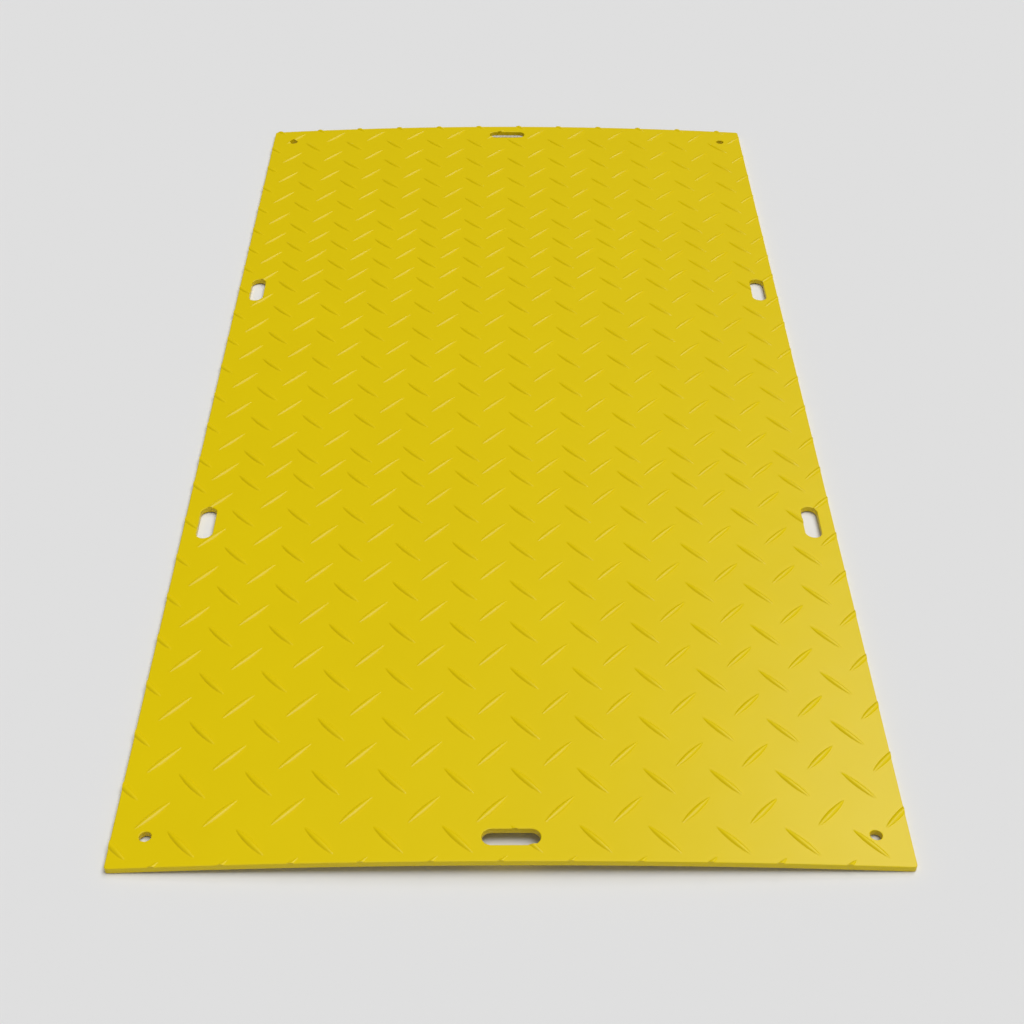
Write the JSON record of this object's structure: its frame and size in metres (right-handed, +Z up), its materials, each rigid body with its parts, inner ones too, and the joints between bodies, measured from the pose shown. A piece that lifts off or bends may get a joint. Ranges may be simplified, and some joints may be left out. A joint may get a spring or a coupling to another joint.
{
  "type": "ground protection mat",
  "caption": "Rectangular plastic ground protection mat with a raised diamond tread, rounded hand slots along its edges and a round hole at each corner, lying slightly arched.",
  "frame": {"origin": "on the floor under the middle of the mat", "axes": "+Y along the mat, +X across it, +Z up out of the tread"},
  "size_m": [1.22, 2.44, 0.031],
  "materials": {
    "yellow_hdpe": "semi-gloss, moulded"
  },
  "bodies": {
    "root": {"mat": "yellow_hdpe"}
  },
  "joints": []
}
